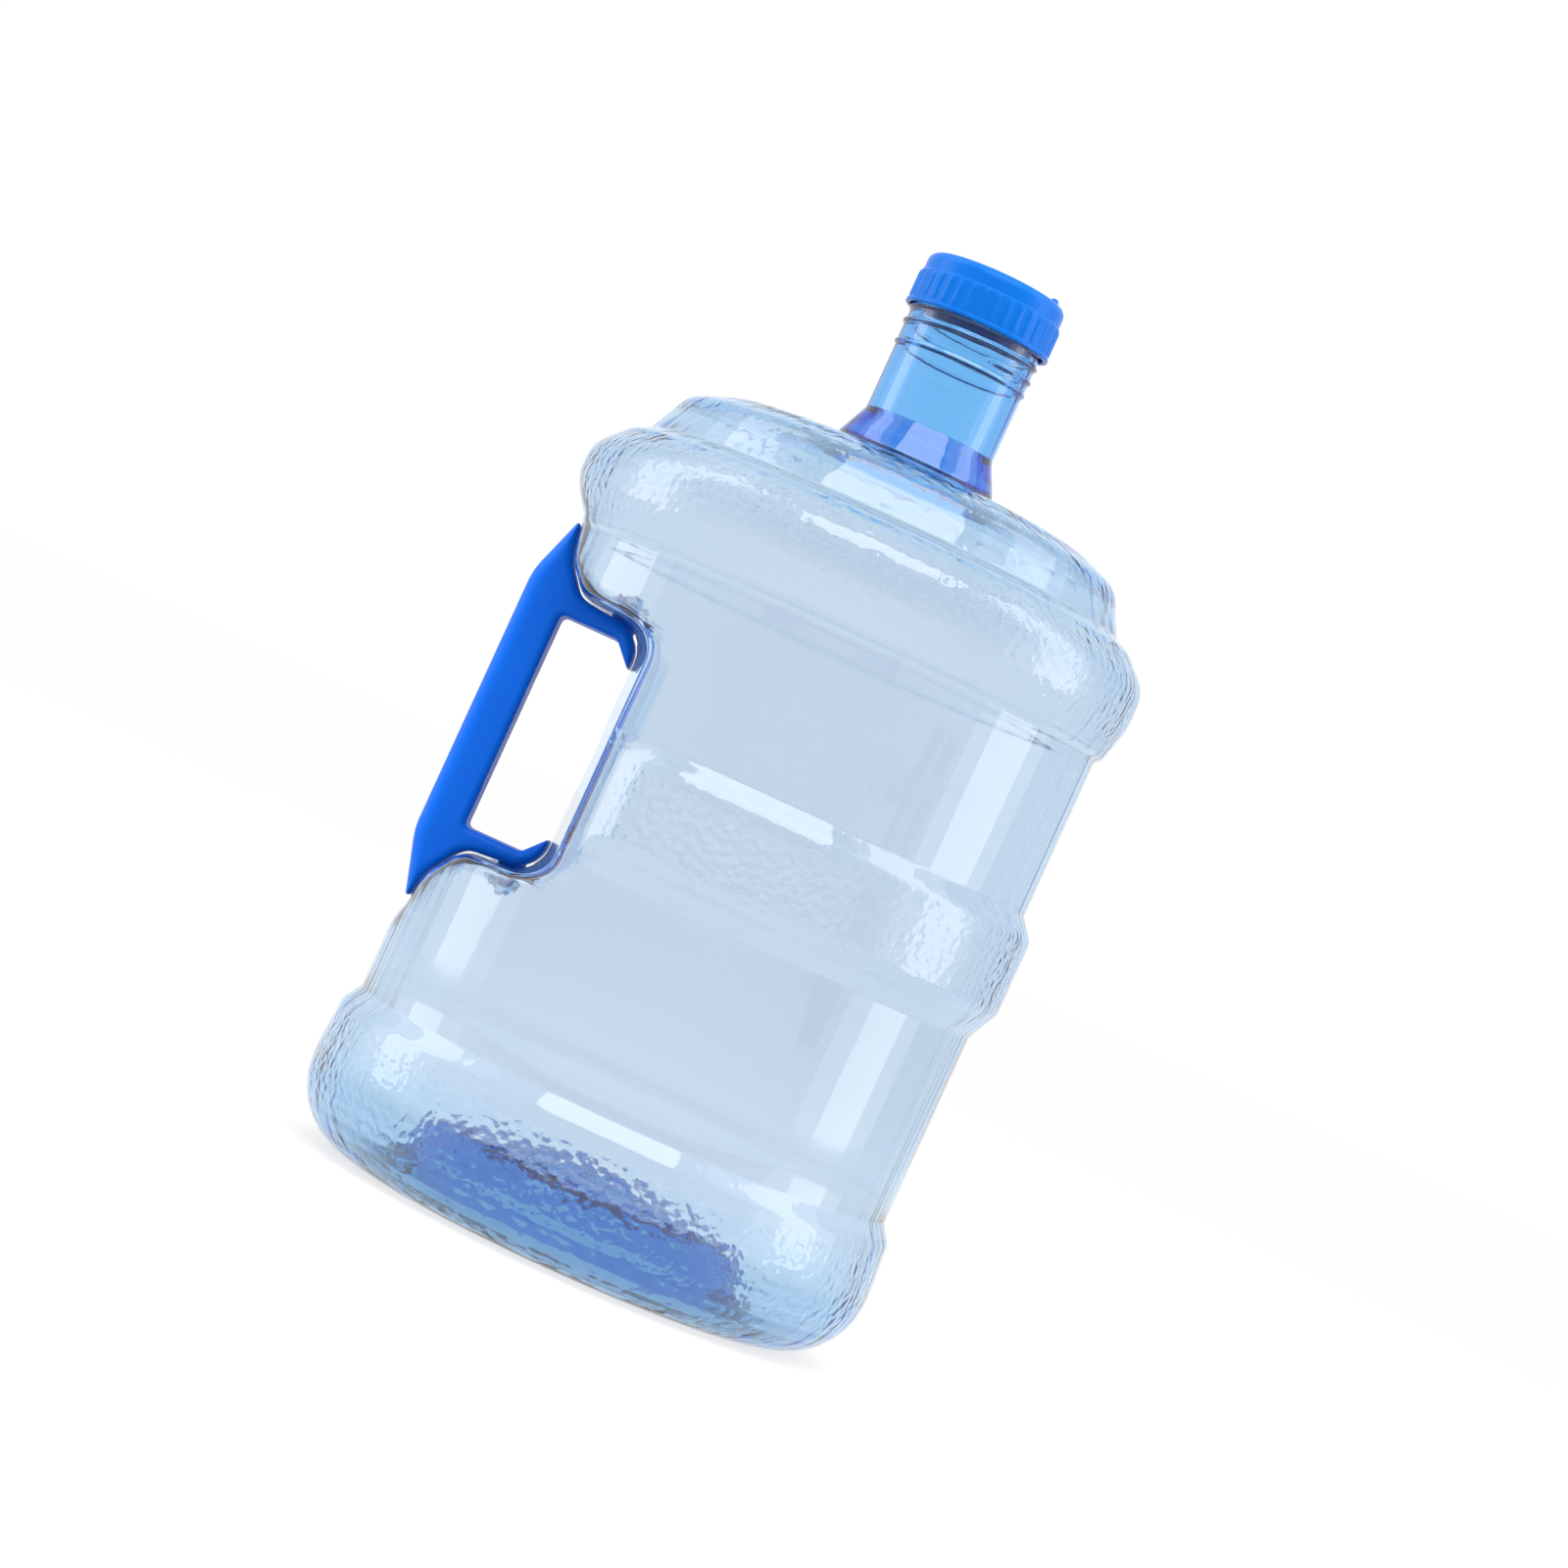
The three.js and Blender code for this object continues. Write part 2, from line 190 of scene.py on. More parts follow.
CAP_TOP_Z = CAP_NUB_Z - 2
CAP_RIBS = 36
CAP_RIB_H = 0.42
CAP_RIBS_FROM_Z = (336.5, 337.3)    # the ribs rise out of the skirt over these heights
CAP_RIBS_TO_Z = (345.2, 346.2)      # and sink back into it over these
CAP_SKIRT_R = 25.25
CAP_LIP_R = 25.9
CAP_CROWN_R = 24.75
CAP_CROWN_Z = 346.4     # where the ribbed skirt ends below the plain crown
CAP_THREAD_R = 24.35    # inside of the skirt
CAP_THREAD_H = 0.6
CAP_SEAT_R = 23.8       # inside of the crown
CAP_SEAT_Z = 346.2
CAP_SEAT_TOP_Z = 351
NUB_X = 19.6
LINER_GROOVE_R = 19.6


# ---- outlines ----

def unit(v):
    return v / np.linalg.norm(v)


def rounded(corners, arc_step=12):
    """Points along corners of (x, y, rounding, other values), with an arc of small steps at each one."""
    points = []
    for i, (x, y, radius, *rest) in enumerate(corners):
        here = np.array((x, y), float)
        if not radius:
            points.append((x, y, *rest))
            continue
        back = unit(np.array(corners[i - 1][:2]) - here)
        ahead = unit(np.array(corners[(i + 1) % len(corners)][:2]) - here)
        half = math.acos(float(np.clip(back @ ahead, -1, 1))) / 2
        turn = (2 * half - math.pi) * math.copysign(1, back[0] * ahead[1] - back[1] * ahead[0])
        centre = here + unit(back + ahead) * radius / math.sin(half)
        arm = here + back * radius / math.tan(half) - centre
        steps = max(2, math.ceil(abs(math.degrees(turn)) / arc_step))
        for k in range(steps + 1):
            c, s = math.cos(turn * k / steps), math.sin(turn * k / steps)
            points.append((centre[0] + c * arm[0] - s * arm[1], centre[1] + s * arm[0] + c * arm[1], *rest))
    return np.array(points)


def subdivided(points, spacing):
    """Adds points so that neighbours are at most spacing apart."""
    out = [points[0]]
    for a, b in zip(points, points[1:]):
        steps = max(1, math.ceil(np.linalg.norm(b[:2] - a[:2]) / spacing))
        out += [a + (b - a) * k / steps for k in range(1, steps + 1)]
    return np.array(out)


def smooth(value, low, high):
    t = np.clip((value - low) / (high - low), 0, 1)
    return t * t * (3 - 2 * t)


def distance_to_chain(points, chain):
    """Plain distance of 2D points to a chain of segments."""
    a, b = chain[:-1], chain[1:]
    along = b - a
    to = points[:, None, :] - a[None]
    t = np.clip((to * along).sum(2) / (along * along).sum(1), 0, 1)
    return np.sqrt(((to - t[..., None] * along) ** 2).sum(2).min(1))


def inside_outline(points, outline):
    """Which 2D points lie inside a closed outline."""
    a, b = outline, np.roll(outline, -1, axis=0)
    x, y = points[:, 0, None], points[:, 1, None]
    crosses = (a[:, 1] > y) != (b[:, 1] > y)
    rise = np.where(b[:, 1] == a[:, 1], 1e-9, b[:, 1] - a[:, 1])
    at = a[:, 0] + (y - a[:, 1]) * (b[:, 0] - a[:, 0]) / rise
    return (crosses & (x < at)).sum(1) % 2 == 1


def fillet(a, b, radius):
    """The field of what is inside both fields, with its edge rounded to radius."""
    inner = np.minimum(np.maximum(a, b), -radius)
    return inner + np.hypot(np.maximum(a + radius, 0), np.maximum(b + radius, 0))


def project(points, field, rounds=4, step=0.02):
    """Moves points onto the surface where field is 0."""
    p = points.copy()
    for _ in range(rounds):
        value = field(p)
        gradient = np.stack([(field(p + d) - field(p - d)) / (2 * step) for d in np.eye(3) * step], axis=1)
        size = np.maximum((gradient ** 2).sum(1, keepdims=True), 0.05)
        p -= np.clip(value[:, None] * gradient / size, -1.5, 1.5)
    return p


# ---- meshes ----

def mesh(name, vertices, faces, material):
    """A smooth mesh object from millimetre vertices."""
    data = bpy.data.meshes.new(name)
    data.from_pydata((np.asarray(vertices) * MM).tolist(), [], faces)
    data.materials.append(material)
    data.polygons.foreach_set("use_smooth", [True] * len(data.polygons))
    data.update()
    obj = bpy.data.objects.new(name, data)
    bpy.context.scene.collection.objects.link(obj)
    return obj


def vertex_values(obj, name, values):
    """Gives each vertex a number that materials can read by name."""
    obj.data.attributes.new(name, "FLOAT", "POINT").data.foreach_set("value", values)


def grid_faces(rows, columns, first=0, flip=False):
    """Quads between rings of the same number of columns, closed round the ring."""
    i = np.arange(rows - 1)[:, None] * columns + first
    j = np.arange(columns)[None]
    k = (j + 1) % columns
    quads = np.stack([i + j, i + k, i + columns + k, i + columns + j], axis=2).reshape(-1, 4)
    return (quads[:, ::-1] if flip else quads).tolist()


def fan(centre, start, columns, flip=False):
    """Triangles that close a ring onto a centre vertex."""
    out = [(centre, start + (j + 1) % columns, start + j) for j in range(columns)]
    return [face[::-1] for face in out] if flip else out


def turned(name, section, columns, material, displace=None):
    """A closed solid of revolution. Its section runs from axis to axis and ends up the outside."""
    angle = np.arange(columns) * 2 * math.pi / columns
    r, z = section[1:-1, 0, None], section[1:-1, 1, None]
    if displace is not None:
        r = r + displace(r, z, angle[None])
    rows = np.stack(np.broadcast_arrays(r * np.cos(angle), r * np.sin(angle), z + 0 * angle), axis=2)
    count = rows.shape[0] * columns
    vertices = np.concatenate([rows.reshape(-1, 3), [(0, 0, section[0, 1]), (0, 0, section[-1, 1])]])
    faces = grid_faces(rows.shape[0], columns)
    faces += fan(count, 0, columns)
    faces += fan(count + 1, count - columns, columns, flip=True)
    return mesh(name, vertices, faces, material)


# ---- bottle ----

def helix_ridge(angle, z, start, start_z, turns, half_foot=0.95, half_crest=0.3):
    """How much of a thread ridge stands at each angle and height, from 0 to 1."""
    height = np.zeros(np.broadcast(angle, z).shape)
    for turn in range(math.ceil(turns) + 1):
        along = np.mod(angle - start, 2 * math.pi) / (2 * math.pi) + turn
        off = np.abs(z - start_z - along * THREAD_LEAD)
        ends = smooth(along, 0, 0.06) * (1 - smooth(along, turns - 0.06, turns))
        ridge = (1 - smooth(off, half_crest, half_foot)) * ends
        height = np.maximum(height, ridge)
    return height


class BottleSkin:
    """The bottle's outer surface as rings of vertices, from the middle of the base to the rim."""

    HALF_COUNTS = (26, 8, 47)   # columns across the recess, over its lip and round the rest, per side
    LIP_SPAN = 0.055            # radians each side of the lip that get closer columns
    TIP_ANGLE = math.radians(12)
    ZONE = (60, 241)            # heights that the recess reaches
    SIDE_FROM_R = 78            # radius of the base where the side of the body begins
    NO_RECESS = -200            # stands for the recess's x at heights without a recess
    # Largest distance between rings: in the base, below, at and above the recess, and on the thread
    STEP = {"base": 3.0, "low": 2.4, "recess": 1.9, "high": 2.2, "thread": 0.45}

    def __init__(self, with_thread):
        self.with_thread = with_thread
        section = rounded(BODY_SECTION + NECK_SECTION)
        top = np.argmax(section[:, 1] >= RIM_Z - 1.2)
        self.contour = rounded(RECESS)[::-1]
        side = section[self._first_side(section):top + 1]
        self.side_z, self.side_r, self.side_wall = side[:, 1], side[:, 0], side[:, 2]
        self.rings = self._rings(section)

    @staticmethod
    def _first_side(section):
        """The first point of the section above which the radius depends on height alone."""
        return int(np.argmax((section[:, 0] > BottleSkin.SIDE_FROM_R) & (section[:, 1] >= 0)))

    def _rings(self, section):
        """Radius, height and wall thickness of each ring."""
        low, high = self.ZONE
        cut = self._first_side(section)
        under = subdivided(section[:cut + 1], self.STEP["base"])
        side = section[cut:]
        below = subdivided(side[side[:, 1] <= low], self.STEP["low"])[1:]
        above = side[side[:, 1] > high]
        neck = above[above[:, 1] >= BEAD_TOP_Z]
        above = subdivided(above[above[:, 1] < BEAD_TOP_Z], self.STEP["high"])
        neck = subdivided(neck, self.STEP["thread"])
        corners = side[(side[:, 1] > low) & (side[:, 1] <= high), 1]
        along_recess = subdivided(self.contour, self.STEP["recess"])[:, 1]
        heights = np.concatenate([corners, along_recess, [low + 1, low + 3]])
        heights = np.unique(np.round(heights[(heights > low) & (heights < high)], 1))
        zone = np.stack([
            np.interp(heights, self.side_z, self.side_r),
            heights,
            np.interp(heights, self.side_z, self.side_wall),
        ], axis=1)
        return np.concatenate([under, below, zone, above, neck])

    def radius(self, x, z):
        """Radius of the body at a height. The middle band fades out near the recess."""
        r = np.interp(z, self.side_z, self.side_r)
        in_band = (z > BAND_Z[0]) & (z < BAND_Z[1])
        return np.where(in_band, BODY_R + (r - BODY_R) * smooth(x, *BAND_FADE_X), r)

    def recess_x(self, z):
        """How far in the recess reaches at a height, in the plane Y = 0."""
        return np.interp(z, self.contour[:, 1], self.contour[:, 0])

    def recess_field(self, p):
        """Distance to the recess, below 0 inside it."""
        depth = 1 + RECESS_DRAFT * np.abs(p[:, 1])
        x = -BULGE_R + (p[:, 0] + BULGE_R) / depth
        distance = distance_to_chain(np.stack([x, p[:, 2]], axis=1), self.contour[:, :2])
        return np.where(x < self.recess_x(p[:, 2]), -distance, distance)

    def field(self, p):
        """Distance to the body with the recess taken out of it, below 0 inside."""
        body = np.hypot(p[:, 0], p[:, 1]) - self.radius(p[:, 0], p[:, 2])
        return fillet(body, -self.recess_field(p), LIP_R)

    def grid(self):
        """Vertices as an array of rings, columns and coordinates."""
        z = self.rings[:, 1, None]
        in_zone = (z > self.ZONE[0]) & (z < self.ZONE[1])
        recess = np.where(in_zone, self.recess_x(z), self.NO_RECESS)
        depth = recess + BULGE_R
        lean = np.maximum(depth, 0) * RECESS_DRAFT
        r0 = self.rings[:, 0, None]
        reach = np.clip(-recess / (r0 * np.sqrt(1 + lean ** 2)), -1, 1)
        half = np.maximum(np.arctan(lean) + np.arccos(reach), self.TIP_ANGLE)
        lip = (half - self.LIP_SPAN, half + self.LIP_SPAN)
        nodes = np.concatenate([0 * half, *lip, 0 * half + math.pi], axis=1)
        steps = np.cumsum([0, *self.HALF_COUNTS])
        across = np.arange(steps[-1] + 1)
        angle = np.stack([np.interp(across, steps, row) for row in nodes])
        angle = np.concatenate([angle, -angle[:, -2:0:-1]], axis=1)
        side = np.cos(angle) + lean * np.abs(np.sin(angle))
        body = np.where(in_zone, self.radius(-r0 * np.cos(angle), z + 0 * angle), r0 + 0 * angle)
        flat_wall = -recess / np.maximum(side, 0.05)
        r = np.where(in_zone & (side > 0.05), np.minimum(body, flat_wall), body)
        if self.with_thread:
            around = np.arctan2(np.sin(angle), -np.cos(angle))
            on_neck = (z > BEAD_TOP_Z + 0.2) & (z < RIM_Z - 1.5)
            ridge = helix_ridge(around, z, THREAD_START, THREAD_START_Z, THREAD_TURNS)
            r = r + on_neck * THREAD_H * ridge
        p = np.stack([-r * np.cos(angle), r * np.sin(angle), z + 0 * angle], axis=2)
        return self._with_bumps(self._with_lips(p))

    def _with_lips(self, p):
        """Rounds the edge where the recess cuts into the body."""
        flat = p.reshape(-1, 3)
        near = (flat[:, 2] > self.ZONE[0]) & (flat[:, 2] < self.ZONE[1]) & (flat[:, 0] < -30)
        body = np.abs(np.hypot(flat[:, 0], flat[:, 1]) - self.radius(flat[:, 0], flat[:, 2]))
        near &= body < 3 * LIP_R
        index = np.flatnonzero(near)
        index = index[np.abs(self.recess_field(flat[index])) < 3 * LIP_R]
        flat[index] = project(flat[index], self.field)
        return flat.reshape(p.shape)

    def pebbles(self, p):
        """How strongly the pebbled finish shows at each vertex."""
        x, z = p[..., 0], p[..., 2]
        weight = np.zeros(z.shape)
        for low, high, strength, fade in PEBBLE_ZONES:
            zone = smooth(z, low - fade, low + fade) * (1 - smooth(z, high - fade, high + fade))
            weight = np.maximum(weight, strength * zone)
        r = np.hypot(x, p[..., 1])
        weight *= (z < self.ZONE[0]) | (r > self.radius(x, z) - 0.4)
        weight = np.maximum(weight, (1 - smooth(r, *DOME_PEBBLES_FADE_R)) * (z < BASE_TOP_Z))
        in_band = (z > BAND_Z[0]) & (z < BAND_Z[1])
        return weight * np.where(in_band, smooth(x, *BAND_FADE_X), 1)

    def on_recess(self, p):
        """1 on the walls of the recess, fading to 0 round its lip."""
        z = p[..., 2]
        off = self.radius(p[..., 0], z) - np.hypot(p[..., 0], p[..., 1])
        return smooth(off, 0.05, 1.2) * ((z > self.ZONE[0]) & (z < self.ZONE[1]))

    @staticmethod
    def _with_bumps(p):
        """Pushes the catch bumps out of the recess's walls."""
        for axis, place, wall, length, width, depth, direction in BUMPS:
            along = p[..., 0] if axis == "x" else p[..., 2]
            off = np.abs((p[..., 2] if axis == "x" else p[..., 0]) - wall)
            reach = np.hypot((along - place) / length, p[..., 1] / width)
            lift = depth * (1 - smooth(reach, 0.3, 1.0)) * (off < 4)
            p = p + lift[..., None] * np.array(direction)
        return p


def grid_normals(p):
    """Outward unit normals of a grid of rings."""
    around = np.roll(p, -1, axis=1) - np.roll(p, 1, axis=1)
    up = np.gradient(p, axis=0)
    n = np.cross(around, up)
    size = np.linalg.norm(n, axis=2, keepdims=True)
    n /= np.maximum(size, 1e-9)
    outward = (n[..., :2] * p[..., :2]).sum(2).mean() > 0
    return n if outward else -n


def make_bottle(material):
    """The closed shell: its skin, the plain skin moved in by the wall, and the bore through the neck."""
    outer = BottleSkin(with_thread=True)
    skin = outer.grid()
    plain = BottleSkin(with_thread=False)
    smooth_skin = plain.grid()
    wall = plain.rings[:, 2, None] + RECESS_WALL * plain.on_recess(smooth_skin)
    inner = smooth_skin - wall[..., None] * grid_normals(smooth_skin)
    first_bore = int(np.argmax(plain.rings[:, 1] > BORE_FROM_Z))
    inner = inner[:first_bore:2]
    columns = skin.shape[1]
    angle = np.arctan2(skin[-1, :, 1], skin[-1, :, 0])
    bore = np.array([np.stack([r * np.cos(angle), r * np.sin(angle), 0 * angle + z], 1)
                     for r, z in subdivided(np.array(BORE_SECTION), 6)])
    inner = np.concatenate([inner, bore])
    n_out, n_in = skin.shape[0], inner.shape[0]
    first_inner = n_out * columns
    vertices = np.concatenate([skin.reshape(-1, 3), inner.reshape(-1, 3),
                               [(0, 0, skin[0, 0, 2]), (0, 0, inner[0, 0, 2])]])
    centre = (n_out + n_in) * columns
    faces = grid_faces(n_out, columns, flip=True)
    faces += fan(centre, 0, columns, flip=True)
    out_rim, in_rim = first_inner - columns, centre - columns
    for j in range(columns):
        k = (j + 1) % columns
        faces.append((in_rim + j, in_rim + k, out_rim + k, out_rim + j))
    faces += grid_faces(n_in, columns, first_inner)
    faces += fan(centre + 1, first_inner, columns)
    bottle = mesh("bottle_shell", vertices, faces, material)
    weight = np.zeros(len(vertices))
    weight[:first_inner] = outer.pebbles(skin).ravel()
    weight[centre] = 1
    r = np.hypot(vertices[:, 0], vertices[:, 1])
    in_base = vertices[:, 2] < BASE_TOP_Z
    vertex_values(bottle, "pebbles", weight)
    vertex_values(bottle, "dome", in_base * (1 - smooth(r, *DOME_FADE_R)))
    # The ring round the base's dome gets a darker tint in the material: painted shade.
    ring = smooth(r, *SHADED_RING_FADE_IN_R) * (1 - smooth(r, *SHADED_RING_FADE_OUT_R))
    vertex_values(bottle, "base_ring_shade", in_base * ring)
    return bottle


# ---- handle ----

def make_handle(material):
    """An even mesh of the extruded outline and its lugs, moved onto their field of rounded edges."""
    outline = rounded(HANDLE, arc_step=10)
    closed = np.concatenate([outline, outline[:1]])
    lugs = np.array(LUGS)

    def field(p):
        flat = p[:, [0, 2]]
        side = distance_to_chain(flat, closed)
        side = np.where(inside_outline(flat, outline), -side, side)
        blend = smooth(p[:, 0], *GRIP_EDGE_FADE_X)
        edge = GRIP_OUTER_EDGE * (1 - blend) + GRIP_INNER_EDGE * blend
        value = fillet(side, np.abs(p[:, 1]) - GRIP_HALF, edge)
        for x, z, rx, ry, rz in lugs:
            away = np.sqrt(((p - (x, 0, z)) ** 2 / (np.array((rx, ry, rz)) ** 2)).sum(1))
            lug = (away - 1) * rx
            mix = np.clip(0.5 + 0.5 * (value - lug) / LUG_BLEND, 0, 1)
            value = value * (1 - mix) + lug * mix - LUG_BLEND * mix * (1 - mix)
        return value

    bm = bmesh.new()
    low = bm.faces.new([bm.verts.new((x * MM, -GRIP_HALF * MM, z * MM)) for x, z in outline[:, :2]])
    grown = bmesh.ops.extrude_face_region(bm, geom=[low])["geom"]
    for v in (g for g in grown if isinstance(g, bmesh.types.BMVert)):
        v.co.y = GRIP_HALF * MM
    for x, z, rx, ry, rz in LUGS:
        made = bmesh.ops.create_icosphere(bm, subdivisions=3, radius=1)["verts"]
        for v in made:
            v.co = Vector((x + v.co.x * rx, v.co.y * ry, z + v.co.z * rz)) * MM
    bmesh.ops.recalc_face_normals(bm, faces=bm.faces)
    data = bpy.data.meshes.new("grip_seed")
    bm.to_mesh(data)
    bm.free()
    seed = bpy.data.objects.new("grip_seed", data)
    bpy.context.scene.collection.objects.link(seed)
    remesh = seed.modifiers.new("even", "REMESH")
    remesh.mode = "VOXEL"
    remesh.voxel_size = HANDLE_VOXEL * MM
    even = seed.evaluated_get(bpy.context.evaluated_depsgraph_get()).to_mesh()
    vertices = np.empty(len(even.vertices) * 3)
    even.vertices.foreach_get("co", vertices)
    vertices = project(vertices.reshape(-1, 3) / MM, field, rounds=5)
    faces = [tuple(polygon.vertices) for polygon in even.polygons]
    bpy.data.objects.remove(seed)
    return mesh("grip_handle", vertices, faces, material)


# ---- cap and liner ----

def make_cap(material):
    """Turned from one section, from the ceiling down the inside and up the outside to the crown."""
    ceiling = LINER_HIGH + 0.3
    section = rounded([
        (0, ceiling, 0),
        (CAP_SEAT_R - 1, ceiling, 0.3),
        (CAP_SEAT_R, CAP_SEAT_TOP_Z, 0.5),
        (CAP_SEAT_R, CAP_SEAT_Z, 0.2),
        (CAP_THREAD_R, CAP_SEAT_Z - 0.5, 0.2),
        (CAP_THREAD_R, CAP_BOTTOM_Z, 0.35),
        (CAP_LIP_R, CAP_BOTTOM_Z, 0.45),
        (CAP_LIP_R, CAP_BOTTOM_Z + 1.35, 0.4),
        (CAP_SKIRT_R, CAP_BOTTOM_Z + 1.75, 0.15),
        (CAP_SKIRT_R, CAP_CROWN_Z, 0.2),
        (CAP_CROWN_R, CAP_CROWN_Z + 0.5, 0.3),
        (CAP_CROWN_R, CAP_TOP_Z - 0.5, 3.2),
        (0, CAP_TOP_Z, 0),
    ], arc_step=18)
    section = subdivided(section, 0.9)

    def displace(r, z, angle):
        phase = np.mod(angle * CAP_RIBS / (2 * math.pi), 1) - 0.5
        rib = 1 - smooth(np.abs(phase), 0.12, 0.24)
        band = smooth(z, *CAP_RIBS_FROM_Z) * (1 - smooth(z, *CAP_RIBS_TO_Z)) * (r > CAP_CROWN_R)
        start_z = THREAD_START_Z + 2.5 * THREAD_LEAD
        ridge = helix_ridge(angle, z, THREAD_START, start_z, 1.0)
        inside = (np.abs(r - CAP_THREAD_R) < 0.1) & (z < CAP_SEAT_Z - 0.6)
        return CAP_RIB_H * rib * band - CAP_THREAD_H * ridge * inside

    return turned("screw_cap", section, CAP_RIBS * 8, material, displace)


def make_cap_nub(material):
    base = CAP_TOP_Z - 0.6
    section = rounded([
        (0, base, 0),
        (1.7, base, 0.2),
        (1.6, CAP_TOP_Z + 0.6, 0.5),
        (1.1, CAP_NUB_Z, 0.7),
        (0, CAP_NUB_Z, 0),
    ], arc_step=15)
    nub = turned("cap_nub", subdivided(section, 0.4), 32, material)
    for v in nub.data.vertices:
        v.co.x += NUB_X * MM
    return nub


def make_liner(material):
    section = rounded([
        (0, LINER_LOW, 0),
        (LINER_GROOVE_R - 0.4, LINER_LOW, 0.2),
        (LINER_GROOVE_R, LINER_LOW + 0.25, 0.2),
        (LINER_GROOVE_R + 0.4, LINER_LOW, 0.2),
        (LINER_R, LINER_LOW, 0.3),
        (LINER_R, LINER_HIGH, 0.3),
        (0, LINER_HIGH, 0),
    ], arc_step=20)
    return turned("sealing_liner", subdivided(section, 1.0), 96, material)


# ---- materials ----

def new_material(name):
    material = bpy.data.materials.new(name)
    material.use_nodes = True
    tree = material.node_tree
    shader = tree.nodes["Principled BSDF"]
    return material, tree, shader


def noise_range(tree, scale, low, high, detail=2.0, stretch=1.0):
    """A value that wanders between low and high over the surface. Stretch scales it along Z."""
    place = tree.nodes.new("ShaderNodeTexCoord")
    mapping = tree.nodes.new("ShaderNodeMapping")
    mapping.inputs["Scale"].default_value = (1, 1, stretch)
    tree.links.new(place.outputs["Object"], mapping.inputs["Vector"])
    noise = tree.nodes.new("ShaderNodeTexNoise")
    noise.inputs["Scale"].default_value = scale
    noise.inputs["Detail"].default_value = detail
    tree.links.new(mapping.outputs["Vector"], noise.inputs["Vector"])
    spread = tree.nodes.new("ShaderNodeMapRange")
    spread.inputs["From Min"].default_value = 0.3
    spread.inputs["From Max"].default_value = 0.7
    spread.inputs["To Min"].default_value = low
    spread.inputs["To Max"].default_value = high
    tree.links.new(noise.outputs["Fac"], spread.inputs["Value"])
    return spread.outputs["Result"]


def height_mask(tree, low, high):
    """0 below one height of the object and 1 above another."""
    place = tree.nodes.new("ShaderNodeTexCoord")
    parts = tree.nodes.new("ShaderNodeSeparateXYZ")
    tree.links.new(place.outputs["Object"], parts.inputs["Vector"])
    mask = tree.nodes.new("ShaderNodeMapRange")
    mask.interpolation_type = "SMOOTHSTEP"
    mask.inputs["From Min"].default_value = low * MM
    mask.inputs["From Max"].default_value = high * MM
    tree.links.new(parts.outputs["Z"], mask.inputs["Value"])
    return mask.outputs["Result"]


def clear_plastic(name):
    """Faintly blue polycarbonate, slightly hazy where it is blown thin. Its blue deepens with thickness, and
    the ring round the base's dome is tinted darker as painted shade.
    """
    material, tree, shader = new_material(name)
    tint = tree.nodes.new("ShaderNodeMix")
    tint.data_type = "RGBA"
    tint.inputs["A"].default_value = (0.95, 0.89, 0.905, 1)
    tint.inputs["B"].default_value = (0.94, 0.95, 1.0, 1)
    tree.links.new(height_mask(tree, 268, 287), tint.inputs["Factor"])
    # The dome gets a deeper blue. The ring round it gets a darker grey-blue, painted shade where the base
    # ring looks dark.
    for zone, colour in (("dome", (0.72, 0.95, 1.0)), ("base_ring_shade", (0.68, 0.76, 0.88))):
        inside = tree.nodes.new("ShaderNodeAttribute")
        inside.attribute_name = zone
        deeper_blue_and_shade = tree.nodes.new("ShaderNodeMix")
        deeper_blue_and_shade.data_type = "RGBA"
        deeper_blue_and_shade.inputs["B"].default_value = (*colour, 1)
        tree.links.new(tint.outputs["Result"], deeper_blue_and_shade.inputs["A"])
        tree.links.new(inside.outputs["Fac"], deeper_blue_and_shade.inputs["Factor"])
        tint = deeper_blue_and_shade
    tree.links.new(tint.outputs["Result"], shader.inputs["Base Color"])
    shader.inputs["IOR"].default_value = 1.55
    shader.inputs["Transmission Weight"].default_value = 1.0
    tree.links.new(noise_range(tree, 40, 0.03, 0.06), shader.inputs["Roughness"])
    tree.links.new(shell_relief(tree), shader.inputs["Normal"])
    absorb = tree.nodes.new("ShaderNodeVolumeAbsorption")
    absorb.inputs["Color"].default_value = (0.0, 0.63, 0.94, 1)
    absorb.inputs["Density"].default_value = 290
    tree.links.new(absorb.outputs["Volume"], tree.nodes["Material Output"].inputs["Volume"])
    return material


def shell_relief(tree):
    """Fine pebbles where the mesh asks for them, and faint upright streaks of the blown plastic."""
    weight = tree.nodes.new("ShaderNodeAttribute")
    weight.attribute_name = "pebbles"
    height = tree.nodes.new("ShaderNodeMath")
    height.operation = "MULTIPLY"
    tree.links.new(noise_range(tree, 360, 0, 1, detail=0.6), height.inputs[0])
    tree.links.new(weight.outputs["Fac"], height.inputs[1])
    pebbles = tree.nodes.new("ShaderNodeBump")
    pebbles.inputs["Strength"].default_value = 1.0
    pebbles.inputs["Distance"].default_value = 0.00013
    tree.links.new(height.outputs["Value"], pebbles.inputs["Height"])
    streaks = tree.nodes.new("ShaderNodeBump")
    streaks.inputs["Strength"].default_value = 1.0
    streaks.inputs["Distance"].default_value = 0.00016
    tree.links.new(noise_range(tree, 110, 0, 1, detail=1.5, stretch=0.03), streaks.inputs["Height"])
    tree.links.new(pebbles.outputs["Normal"], streaks.inputs["Normal"])
    return streaks.outputs["Normal"]


